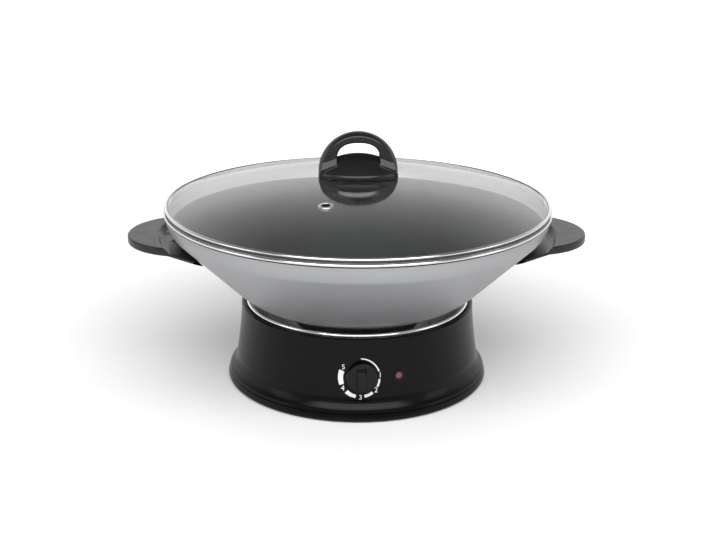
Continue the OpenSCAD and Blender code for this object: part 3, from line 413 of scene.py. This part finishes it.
def net_mesh(field, low, high, cell):
    """Points and faces on the zero level of field(x, y, z), within the box from low to high, in mm.
    Each cell that the level passes holds one point, which is pulled onto the level, and each grid edge
    that crosses it has one quad round it."""
    pulls, longest_pull, step, least_slope = 4, 0.4 * cell, 0.02, 0.05
    axes = [np.arange(l, h + cell, cell) for l, h in zip(low, high)]
    values = field(*np.meshgrid(*axes, indexing="ij"))
    size = np.array(values.shape)
    cells = size - 1
    total = np.zeros((*cells, 3))
    count = np.zeros(cells)
    corner = [(i, j, k) for i in (0, 1) for j in (0, 1) for k in (0, 1)]

    def at(offset):
        return values[tuple(slice(o, o + n) for o, n in zip(offset, cells))]

    for a in corner:
        for axis in range(3):
            if a[axis]:
                continue
            b = tuple(c + (n == axis) for n, c in enumerate(a))
            va, vb = at(a), at(b)
            crosses = (va < 0) != (vb < 0)
            share = np.where(crosses, va / np.where(va == vb, 1, va - vb), 0)
            for n in range(3):
                total[..., n] += crosses * (a[n] + (share if n == axis else 0))
            count += crosses
    used = count > 0
    index = np.full(cells, -1)
    index[used] = np.arange(used.sum())
    cell_at = np.argwhere(used)
    points = np.array([a[0] for a in axes]) + cell * (cell_at + total[used] / count[used][:, None])

    for _ in range(pulls):
        f = field(*points.T)
        slope = np.array([(field(*(points + step * e).T) - field(*(points - step * e).T)) / (2 * step)
                          for e in np.eye(3)]).T
        move = -f[:, None] * slope / np.maximum((slope ** 2).sum(1), least_slope)[:, None]
        points += np.clip(move, -longest_pull, longest_pull)

    inside = values < 0
    faces = []
    for axis in range(3):
        u, v = [n for n in range(3) if n != axis]
        low_side = [slice(None)] * 3
        high_side = [slice(None)] * 3
        low_side[axis], high_side[axis] = slice(0, -1), slice(1, None)
        cross = inside[tuple(low_side)] != inside[tuple(high_side)]
        where = np.argwhere(cross)
        for n in (u, v):
            where = where[(where[:, n] > 0) & (where[:, n] < size[n] - 1)]
        ring = []
        for du, dv in ((1, 1), (0, 1), (0, 0), (1, 0)):
            c = where.copy()
            c[:, u] -= du
            c[:, v] -= dv
            ring.append(index[tuple(c.T)])
        faces += np.array(ring).T.tolist()
    return points, faces


# ---------- Pieces ----------

def wall_r(z):
    """Radius of the base's outer wall: a taper that grows towards the waist, and a round flare below it"""
    taper_power = 1.6
    z = np.asarray(z, float)
    taper = WAIST_ADD * (np.maximum(BASE_TOP_Z - z, 0) / (BASE_TOP_Z - WAIST_Z)) ** taper_power
    flare = FLARE_X - np.sqrt(np.maximum(FLARE_R ** 2 - np.maximum(WAIST_Z - z, 0) ** 2, 0))
    return np.where(z > WAIST_Z, BASE_TOP_R + taper, flare)


def make_bowl():
    """The spun bowl: flat foot, wide bend, straight cone, soft knee, upright collar and rolled lip"""
    cone = math.degrees(CONE_ANGLE)
    bend_steps, knee_steps, lip_steps = 26, 16, 14
    foot_r, foot_z = FLAT_R - 1, BOWL_Z - 5
    inner_r = COLLAR_R - WALL_T
    groove_r = COLLAR_R - 0.9            # under the lip, where a dark line shows
    lip_r, lip_round = COLLAR_R + 0.68, 1.1
    outline = [(0, foot_z), (foot_r - 0.8, foot_z), (foot_r - 0.2, foot_z + 0.2), (foot_r, foot_z + 0.8),
               (foot_r, BOWL_Z - 0.3), (foot_r + 0.3, BOWL_Z)]
    outline += arc(FLAT_R, BOWL_Z + BEND_R, BEND_R, 270, 270 + cone, bend_steps)
    outline += arc(KNEE_IN_R, KNEE_Z, KNEE_ROUND, cone - 90, 0, knee_steps)
    outline += [(COLLAR_R, LIP_Z - 1.1), (groove_r, LIP_Z - 1), (groove_r, LIP_Z), (COLLAR_R + 0.3, LIP_Z)]
    outline += arc(lip_r, RIM_Z - lip_round, lip_round, -80, 90, lip_steps)
    # of the three softened corners, only the rim's inner one is used
    outline += softened([(COLLAR_R - 1.2, RIM_Z), (inner_r, RIM_Z), (inner_r, KNEE_Z)], 0.7, 4)[5:10]
    outline += arc(KNEE_IN_R, KNEE_Z, KNEE_ROUND - WALL_T, 0, cone - 90, knee_steps)
    outline += arc(FLAT_R, BOWL_Z + BEND_R, BEND_R - WALL_T, 270 + cone, 270, bend_steps)
    outline.append((0, BOWL_Z + WALL_T))
    verts, faces = lathe(outline, FINE_STEPS)
    add_piece("bowl_shell", verts, faces, "wok", "bowl_enamel", ["wok_bowl"], sharp=35)
    verts, faces = net_mesh(lug_field, (139, -15, 118), (179, 15, 127), 0.5)
    add_piece("right_lug", verts, faces, "wok", "bowl_enamel", sharp=50)
    add_piece("left_lug", verts * [-1, 1, 1], faces, "wok", "bowl_enamel", sharp=50)


def cone_gap(r, z):
    """Distance outside the bowl's cone, measured from the point where the knee leaves it"""
    knee_r = KNEE_IN_R + KNEE_ROUND * math.sin(CONE_ANGLE)
    knee_z = KNEE_Z - KNEE_ROUND * math.cos(CONE_ANGLE)
    return (r - knee_r) * math.sin(CONE_ANGLE) - (z - knee_z) * math.cos(CONE_ANGLE)


def lug_field(x, y, z):
    """Right cast lug: a bar with a round end that grows out of the bowl's wall"""
    end_x, half, under_z, top_z = 163.0, 13.0, 120.0, 124.45
    root_x, root_half, root_z, root_reach = 138.0, 12.0, 122.3, 3.6
    screw_r = 2.6
    plan = np.where(x > end_x, np.sqrt((x - end_x) ** 2 + y * y), np.abs(y)) - half
    bar = smooth_max(plan, np.maximum(under_z - z, z - top_z), 0.8)
    outside = cone_gap(np.sqrt(x * x + y * y), z)
    bar = smooth_min(bar, np.maximum(outside, np.abs(y) - root_half), 1.6)
    hole = screw_r - np.sqrt((x - HANDLE_SCREW_X) ** 2 + y * y)
    within_wall = -outside - WALL_T / 2
    root = np.maximum(root_x - x, np.abs(z - root_z) - root_reach)
    return np.maximum(np.maximum(np.maximum(bar, hole), within_wall), root)


def glass_height(r, depth=0.0):
    """Height of the glass at a radius, at a depth under its outer face"""
    return BALL_Z + np.sqrt((BALL_R - depth) ** 2 - r * r)


def make_glass():
    """The lid's domed glass, with the knob's hole in its middle and a bevelled edge"""
    edge_r, hole_r, bevel, steps = 176.9, 4.0, 0.5, 60
    radii = np.linspace(hole_r, edge_r, steps)
    outline = [(r, glass_height(r)) for r in radii]
    outline[-1] = (edge_r - bevel, outline[-1][1] + 0.1)
    outline.append((edge_r, outline[-1][1] - bevel))
    outline += [(r, glass_height(r, GLASS_T)) for r in radii[::-1]]
    verts, faces = lathe(outline, ROUND_STEPS)
    add_piece("glass_dome", verts, faces, "lid", "clear_glass", ["lid_glass"], sharp=40)


def joined(*parts):
    """Several lots of points and faces as one"""
    verts, faces = [], []
    for points, sides in parts:
        faces += [tuple(i + len(verts) for i in side) for side in sides]
        verts += [tuple(p) for p in points]
    return verts, faces


def make_band():
    """The lid's steel band: a skirt with a flat seat, and a bead over the glass's edge. A dark ring of
    painted shade fills the space between seat and bead, where the gap shows as a shadow line."""
    skirt_r, skirt_t, skirt_z, seat_top_z = 174.1, 0.5, LID_SEAT_Z - 4, LID_SEAT_Z + 0.14
    seat = [(skirt_r, skirt_z), (skirt_r + skirt_t, skirt_z), (skirt_r + skirt_t, LID_SEAT_Z),
            (BAND_R, LID_SEAT_Z), (BAND_R, seat_top_z), (skirt_r, seat_top_z)]
    inner_r = 176.95                     # clear of the glass's edge
    bead_z, bead_round = 168.85, 0.95
    bead = [(inner_r, bead_z - 0.95), (BAND_R, bead_z - 1)]
    bead += arc(BAND_R - 0.35, bead_z, bead_round, -60, 52, 12)
    bead += [(inner_r - 0.45, bead_z + 1.27), (inner_r - 0.65, bead_z + 1.1),
             (inner_r - 0.45, bead_z + 0.77), (inner_r, bead_z + 0.6)]
    verts, faces = joined(lathe(seat, FINE_STEPS), lathe(bead, FINE_STEPS))
    add_piece("band_bead", verts, faces, "lid", "polished_steel", ["lid_band"], sharp=40)

    # the dark ring of painted shade between seat and bead
    low, high, gap_shade_r = LID_SEAT_Z + 0.2, bead_z - 1, BAND_R + 0.15
    gap_shade = [(inner_r, low), (BAND_R, low), (gap_shade_r, low + 0.15), (gap_shade_r, high - 0.25),
            (BAND_R, high - 0.05), (inner_r, high)]
    verts, faces = lathe(gap_shade, FINE_STEPS)
    add_piece("band_gap_shade", verts, faces, "lid", "silicone", sharp=40, finish=GAP_SHADE)


def placed(verts, angle, pivot_z, tilt, lift):
    """Points of a lathed form moved up by lift, tilted out about the pivot on the axis, turned to angle"""
    x, y, z = np.array(verts, float).T
    z = z + lift
    c, s = math.cos(tilt), math.sin(tilt)
    x, z = x * c + z * s, z * c - x * s + pivot_z
    c, s = math.cos(angle), math.sin(angle)
    return np.array([x * c - y * s, x * s + y * c, z]).T


def make_vent():
    """Steam vent: a steel eyelet clinched over both faces of the glass, and a near-black plug in its bore,
    painted shade for the dark hole.
    Heights are above the glass's outer face."""
    bore_r, neck_r, flange_r, under = 4.0, 4.6, 6.8, -GLASS_T - 0.9
    tilt = math.asin(VENT_R / BALL_R)
    eyelet = [(bore_r, under), (flange_r - 0.4, under), (flange_r - 0.1, under + 0.3),
              (flange_r - 0.4, under + 0.6), (neck_r, under + 0.65), (neck_r, 0.25),
              (flange_r - 0.05, 0.2), (flange_r, 0.45), (flange_r - 0.25, 0.75), (flange_r - 0.9, 1.05),
              (flange_r - 1.6, 1.2), (bore_r + 0.5, 1.1), (bore_r + 0.1, 0.8), (bore_r, 0.4)]
    verts, faces = lathe(eyelet, 56)
    add_piece("vent_flange", placed(verts, VENT_ANGLE, BALL_Z, tilt, BALL_R), faces, "lid", "polished_steel",
              ["vent_eyelet"], sharp=50, finish=SATIN)
    # painted shade: a near-black plug fills the bore so that the hole shows dark
    shade_plug_r = bore_r - 0.05
    shade_plug = [(0, under + 0.2), (shade_plug_r, under + 0.1), (shade_plug_r, 0.75), (shade_plug_r - 0.35, 0.8),
            (shade_plug_r - 1.15, 0.5), (0, 0.4)]
    verts, faces = lathe(shade_plug, SMALL_STEPS)
    add_piece("vent_shade_plug", placed(verts, VENT_ANGLE, BALL_Z, tilt, BALL_R), faces, "lid", "silicone",
              sharp=50, finish=HOLE_SHADE)


def make_trim_ring():
    """Bright ring round the base's well, with a round top"""
    inner_r, outer_r, under_z, bead_z, bead_round = 101.6, 105.6, 71.8, 74.5, 2.0
    outline = [(inner_r, under_z), (outer_r, under_z), (outer_r, bead_z)]
    outline += arc((inner_r + outer_r) / 2, bead_z, bead_round, 10, 170, 12) + [(inner_r, bead_z)]
    verts, faces = lathe(outline, ROUND_STEPS)
    add_piece("trim_hoop", verts, faces, "base", "polished_steel", ["trim_ring"], sharp=40)


def knob_field(x, y, z):
    """Lid knob: domed foot on a lens-shaped plan, with a crowned arch over it, wedges at the arch's feet
    and a finger hole through it"""
    foot_z, edge_z = 192.7, 198.1        # underside of the foot, and where its dome starts
    foot_half, foot_depth, side_r = 36.2, 25.0, 49.4
    crest_z, crest_r = 214.9, 58.0       # ridge of the dome, an arc seen from the front
    blunt, power = 0.035, 0.62           # the dome's fall from ridge to edge
    axis_z, arch_r, arch_half, crown_drop = 198.4, 36.6, 8.8, 3.2
    wedge_x, wedge_z, wedge_r, wedge_half = 21.5, 211.1, 35.2, 12.5
    hole_z, hole_half, hole_rise, hole_power = 210.0, 19.6, 15.5, 2.5
    washer_r, washer_z, insert_z, glass_gap = 14.2, 194.45, 205.8, 0.35

    ax, ay = np.abs(x), np.abs(y)
    plan = np.sqrt(x * x + (ay + side_r - foot_depth) ** 2) - side_r
    plan = smooth_max(plan, ax - foot_half, 1.2)
    crest = crest_z - (crest_r - np.sqrt(crest_r ** 2 - np.minimum(ax, 50) ** 2))
    reach = np.sqrt(side_r ** 2 - np.minimum(ax, 40) ** 2) - side_r + foot_depth
    share = np.clip(ay / np.maximum(reach, 6), 0, 1.3)
    fall = ((share ** 2 + blunt) ** power - blunt ** power) / ((1 + blunt) ** power - blunt ** power)
    dome = edge_z + (crest - edge_z) * (1 - fall)
    drawn_out = 0.5 * np.clip((z - edge_z) / 2, -1, 0)
    foot = smooth_max(plan + drawn_out, (z - dome) * 0.80, 0.7)

    rho = np.where(z > axis_z, np.sqrt(x * x + (z - axis_z) ** 2), ax)
    crown = arch_r - crown_drop * (np.minimum(ay, 12) / arch_half) ** 2.4
    arch = smooth_max(rho - crown, ay - arch_half, 1.4)
    wedge = (z - (wedge_z - 0.376 * (ax - wedge_x) - 1.44 * (ay - arch_half))) * 0.56
    wedge = smooth_max(smooth_max(wedge, rho - wedge_r, 1.0), ay - wedge_half, 0.6)
    arch = smooth_min(arch, wedge, 0.25)
    hole = np.abs(x / hole_half) ** hole_power + np.abs((z - hole_z) / hole_rise) ** hole_power
    hole = hole ** (1 / hole_power) - 1
    arch = smooth_max(arch, -hole * 14, 1.2)

    both = smooth_min(arch, foot, 0.5)
    under = BALL_R + glass_gap - np.sqrt(x * x + y * y + (z - BALL_Z) ** 2)
    r = np.sqrt(x * x + y * y)
    washer = np.maximum(r - washer_r, z - washer_z)
    insert = np.maximum(r - INSERT_R, z - insert_z)
    both = smooth_max(both, smooth_max(under, foot_z - z, 0.1), 0.4)
    return np.maximum(np.maximum(both, -washer), -insert)


def grip_field(x, y, z):
    """Right side handle: plate with a round end, sides that spread towards the bowl, an underside that
    drops to it, a recess in its top, and a thick middle that holds the screw's insert"""
    end_x, end_r, top_z = 157.5, 57.0, 140.0
    side_x, side_half, side_spread = 175.0, 54.25, 0.36
    root_r, root_under_z, slope_run, slope_rise = 147.0, 124.6, 33.0, 8.4
    pad_half, pad_z, pad_end_x, pad_top_z = 16.0, 124.8, 178.0, 134.0
    recess_x, recess_r, recess_z = 54.0, 130.0, 137.0
    floor_z, floor_t, boss_z, boss_half, boss_ramp = 135.0, 2.8, 134.4, 13.0, 5.0
    bowl_gap, insert_z = 0.5, 132.2

    ay = np.abs(y)
    r = np.sqrt(x * x + y * y)
    half = side_half + (side_x - x) * side_spread
    plan = np.where(x > side_x, np.sqrt((x - end_x) ** 2 + y * y) - end_r, (ay - half) * 0.94)
    under = root_under_z + np.clip((r - root_r) / slope_run, 0, 1) * slope_rise
    plate = smooth_max(smooth_max(plan, z - top_z, 2.0), under - z, 1.0)
    pad = np.maximum(np.maximum(ay - pad_half, pad_z - z), np.maximum(x - pad_end_x, z - pad_top_z))
    solid = smooth_min(plate, pad, 0.6)
    recess = (np.sqrt((x - recess_x) ** 2 + y * y) - recess_r) * 0.80 - (z - recess_z) * 0.60
    floor = np.minimum(floor_z, under + floor_t)
    floor = floor + (boss_z - floor) * np.clip((boss_half - ay) / boss_ramp, 0, 1)
    solid = smooth_max(solid, -smooth_max(recess, floor - z, 1.2), 0.6)
    solid = smooth_max(solid, bowl_gap - cone_gap(r, z), 0.5)
    insert = np.maximum(np.sqrt((x - HANDLE_SCREW_X) ** 2 + y * y) - INSERT_R, z - insert_z)
    return np.maximum(solid, -insert)


def dial_field(x, y, z):
    """Dial knob: round disc with a softened rim, hollow behind, and a tapering finger grip across it"""
    tip_y, rise_run, hollow_r, hollow_y = 124.2, 6.0, 9.6, 116.4
    grip_half, grip_long, thinner, shorter = 4.45, 10.4, 0.7, 2.9
    dz = z - DIAL_Z
    rho = np.sqrt(x * x + dz * dz)
    out = -y
    disc = smooth_max(rho - DIAL_R, out - DIAL_END_Y, 1.0)
    rise = np.clip((out - DIAL_END_Y) / rise_run, 0, 1)
    side, end = np.abs(x) - (grip_half - thinner * rise), np.abs(dz) - (grip_long - shorter * rise)
    grip = smooth_max(side, end, 0.8)
    grip = smooth_max(grip, out - tip_y, 0.9)
    both = smooth_min(disc, grip, 0.7)
    hollow = np.maximum(rho - hollow_r, out - hollow_y)
    return np.maximum(np.maximum(both, DIAL_BACK_Y - out), -hollow)


def make_moulded():
    """The black mouldings, each meshed from its field in a box that holds it"""
    verts, faces = net_mesh(grip_field, (132, -64, 122), (218, 64, 143), 0.8)
    add_piece("right_grip", verts, faces, "wok", "black_phenolic", ["right_handle"], sharp=50)
    add_piece("left_grip", verts * [-1, 1, 1], faces, "wok", "black_phenolic", ["left_handle"], sharp=50)
    verts, faces = net_mesh(knob_field, (-39, -28, 190), (39, 28, 237), 0.55)
    add_piece("knob_grip", verts, faces, "lid", "black_phenolic", ["lid_knob"], sharp=50)
    verts, faces = net_mesh(dial_field, (-15, -126, 25), (15, -113, 55), 0.35)
    add_piece("dial_grip", verts, faces, "dial", "black_phenolic", ["dial_knob"], sharp=50,
              finish=DIAL_BLACK)


def on_wall(points):
    """Flat (x, z) points laid a print's thickness proud of the base's front. The wall there is cut flat
    behind the dial, and round beside it."""
    x, z = np.array(points, float).T
    y = np.minimum(np.sqrt(wall_r(z) ** 2 - x * x), DIAL_FACE_Y)
    return np.array([x, -y - PRINT_PROUD, z]).T


def print_arc(start, end, width, inner):
    """A printed band of the heat scale, in clock degrees, thinner at its start"""
    degrees_per_step, across = 1.5, 3
    steps = max(4, int((end - start) / degrees_per_step))
    points = []
    for k, a in enumerate(np.radians(np.linspace(start, end, steps + 1))):
        wide = width[0] + (width[1] - width[0]) * k / steps
        low = inner[0] + (inner[1] - inner[0]) * k / steps
        radii = np.linspace(low, low + wide, across + 1)
        points += [(r * math.sin(a), DIAL_Z + r * math.cos(a)) for r in radii]
    row = across + 1
    faces = [(row * k + j, row * k + j + 1, row * k + j + row + 1, row * k + j + row)
             for k in range(steps) for j in range(across)]
    return on_wall(np.array(points) + PRINT_SHIFT), faces


def print_digit(digit, clock):
    """A printed figure at a clock angle of the heat scale, made from Blender's own font"""
    curve = bpy.data.curves.new("figure", "FONT")
    curve.body, curve.size, curve.resolution_u = digit, DIGIT_SIZE, 4
    holder = bpy.data.objects.new("figure", curve)
    mesh = holder.to_mesh()
    flat = np.array([v.co[:2] for v in mesh.vertices])
    faces = [tuple(p.vertices) for p in mesh.polygons]
    flat -= (flat.max(0) + flat.min(0)) / 2
    holder.to_mesh_clear()
    bpy.data.objects.remove(holder)
    bpy.data.curves.remove(curve)
    a = math.radians(clock)
    flat += [DIGIT_RING[0] * math.sin(a), DIAL_Z + DIGIT_RING[1] * math.cos(a)]
    flat += PRINT_SHIFT
    return on_wall(flat), faces


def make_print():
    """Heat scale round the dial: a thin arc, then bands that grow from 1 to 5"""
    bands = [print_arc(*ends, width, inner) for ends, width, inner in HEAT_BANDS]
    digits = [print_digit(digit, clock) for digit, clock in HEAT_DIGITS]
    verts, faces = joined(*bands, *digits)
    add_piece("heat_scale", verts, faces, "base", None, finish=PRINT)


def make_lens():
    """Pilot lens: a dark stepped rim round a small dome, square on the base's wall"""
    sunk, rim_in, rim_out, rim_top = 3.5, 2.9, 4.6, 4.4
    dome_r, dome_z, dome_rise = 2.85, 3.7, 0.85
    rim = softened([(rim_in, 0), (rim_out, 0), (rim_out, rim_top - 0.5), (rim_out - 0.3, rim_top),
                    (rim_in + 0.2, rim_top - 0.1), (rim_in, rim_top - 0.8)], 0.25)
    dome = [(0, 0.2), (dome_r, 0.2), (dome_r, dome_z)]
    dome += [(dome_r * math.cos(t), dome_z + dome_rise * math.sin(t)) for t in np.linspace(0.2, 1.57, 8)[:-1]]
    dome.append((0, dome_z + dome_rise))
    foot = float(wall_r(LENS_Z)) - sunk

    def stood(outline):
        """Points and faces of an outline turned about Z and laid over, so that it looks out at LENS_ANGLE"""
        verts, faces = lathe(outline, SMALL_STEPS)
        x, y, z = np.array(verts, float).T
        y, z = -(z + foot), y + LENS_Z
        c, s = math.cos(LENS_ANGLE), math.sin(LENS_ANGLE)
        return np.array([x * c - y * s, x * s + y * c, z]).T, faces

    verts, faces = stood(rim)
    add_piece("lens_rim", verts, faces, "base", "red_lens", sharp=40, finish=LENS_RIM)
    verts, faces = stood(dome)
    add_piece("lens_dome", verts, faces, "base", "red_lens", ["pilot_lens"], sharp=40)


# ---------- Studio ----------

def make_floor():
    """White paper, lit near the object so that its shadow shows, and glowing white far from it"""
    half = 12.0
    near, far, near_glow, far_glow, mirror_glow = 0.15, 0.95, 0.10, 1.0, 0.10
    mesh = bpy.data.meshes.new("floor")
    corners = [(-half, -half, 0), (half, -half, 0), (half, half, 0), (-half, half, 0)]
    mesh.from_pydata(corners, [], [(0, 1, 2, 3)])
    floor = bpy.data.objects.new("floor", mesh)
    bpy.context.scene.collection.objects.link(floor)
    made = Shader("floor_paper", Roughness=0.9, Specular_IOR_Level=0.1)
    made.colour((0.80, 0.80, 0.80), 0.01, 3)
    path = made.node("ShaderNodeLightPath")
    seen = made.math("MAXIMUM", path.outputs["Is Camera Ray"], path.outputs["Is Transmission Ray"])
    distance = made.node("ShaderNodeVectorMath", {0: made.place}, operation="LENGTH").outputs["Value"]
    white = made.spread(distance, near_glow, far_glow, near, far)
    mirrored = made.math("MULTIPLY", path.outputs["Is Glossy Ray"], mirror_glow)
    glow = made.math("ADD", made.math("MULTIPLY", seen, white), mirrored)
    made.bsdf.inputs["Emission Color"].default_value = (1, 1, 1, 1)
    made.feed(made.bsdf.inputs["Emission Strength"], glow)
    mesh.materials.append(made.material)


# What the object mirrors, as (height of the direction, brightness): a pale backdrop behind it that darkens
# upward, and a dimmer room in front. The change from room to backdrop runs between two values of the
# direction's y.
BACKDROP = ((0.0, 1.0), (0.17, 1.0), (0.34, 0.90), (0.50, 0.55), (0.64, 0.30), (0.77, 0.16), (1.0, 0.14))
ROOM = ((0.0, 0.45), (0.20, 0.32), (0.60, 0.26), (1.0, 0.14))
ROOM_ENDS, BACKDROP_STARTS = -0.75, -0.15


def make_world():
    """White to the camera, and the backdrop and the room to every other ray"""
    world = bpy.data.worlds.new("studio")
    world.use_nodes = True
    bpy.context.scene.world = world
    tree = world.node_tree
    tree.nodes.clear()

    def node(kind, *inputs):
        made = tree.nodes.new(kind)
        for socket, value in zip(made.inputs, inputs):
            if isinstance(value, bpy.types.NodeSocket):
                tree.links.new(value, socket)
            elif value is not None:
                socket.default_value = value
        return made

    def levels(height, stops):
        ramp = node("ShaderNodeValToRGB", height)
        made = ramp.color_ramp.elements
        made[0].position, made[1].position = stops[0][0], stops[-1][0]
        for position, value in stops[1:-1]:
            made.new(position)
        for stop, (position, value) in zip(made, stops):
            stop.color = (value, value, value, 1)
        return ramp.outputs[0]

    _, y, z = node("ShaderNodeSeparateXYZ", node("ShaderNodeTexCoord").outputs["Generated"]).outputs
    back = levels(z, BACKDROP)
    front = levels(z, ROOM)
    side = node("ShaderNodeMapRange", y, ROOM_ENDS, BACKDROP_STARTS).outputs[0]
    mix = tree.nodes.new("ShaderNodeMix")
    mix.data_type = "RGBA"
    for socket, value in ((MIX_SHARE, side), (MIX_COLOUR_A, front), (MIX_COLOUR_B, back)):
        tree.links.new(value, mix.inputs[socket])
    lit = node("ShaderNodeBackground", mix.outputs[MIX_COLOUR_OUT], 1.0)
    white = node("ShaderNodeBackground", (1, 1, 1, 1), 1.0)
    seen = node("ShaderNodeLightPath").outputs["Is Camera Ray"]
    both = node("ShaderNodeMixShader", seen, lit.outputs[0], white.outputs[0])
    node("ShaderNodeOutputWorld", both.outputs[0])


def add_softbox(name, place, aim, size, power, mirrored=True):
    """An area light in metres and watts, which shows in reflections only if it is mirrored"""
    data = bpy.data.lights.new(name, "AREA")
    data.shape, data.size, data.size_y, data.energy = "RECTANGLE", size[0], size[1], power
    lamp = bpy.data.objects.new(name, data)
    bpy.context.scene.collection.objects.link(lamp)
    lamp.location = place
    lamp.rotation_euler = (Vector(aim) - Vector(place)).to_track_quat("-Z", "Y").to_euler()
    lamp.visible_glossy = mirrored


def make_studio():
    """Floor, world and lights: a wide key in front, a faint one above without reflections, and two sides"""
    make_floor()
    make_world()
    add_softbox("key_front", (0.0, -1.05, 1.25), (0, -0.05, 0.08), (2.1, 1.0), 28)
    add_softbox("fill_above", (0.0, 0.3, 1.9), (0, 0, 0.1), (1.6, 1.2), 3, mirrored=False)
    add_softbox("left_side", (-1.6, -0.5, 0.8), (0, 0, 0.1), (0.7, 0.9), 2.2)
    add_softbox("right_side", (1.7, -0.5, 0.8), (0, 0, 0.1), (0.7, 0.9), 2.2)
    bpy.context.scene.view_settings.view_transform = "Standard"


make_camera()
dress_cad_nodes()
make_bowl()
make_glass()
make_band()
make_vent()
make_trim_ring()
make_moulded()
make_print()
make_lens()
make_studio()
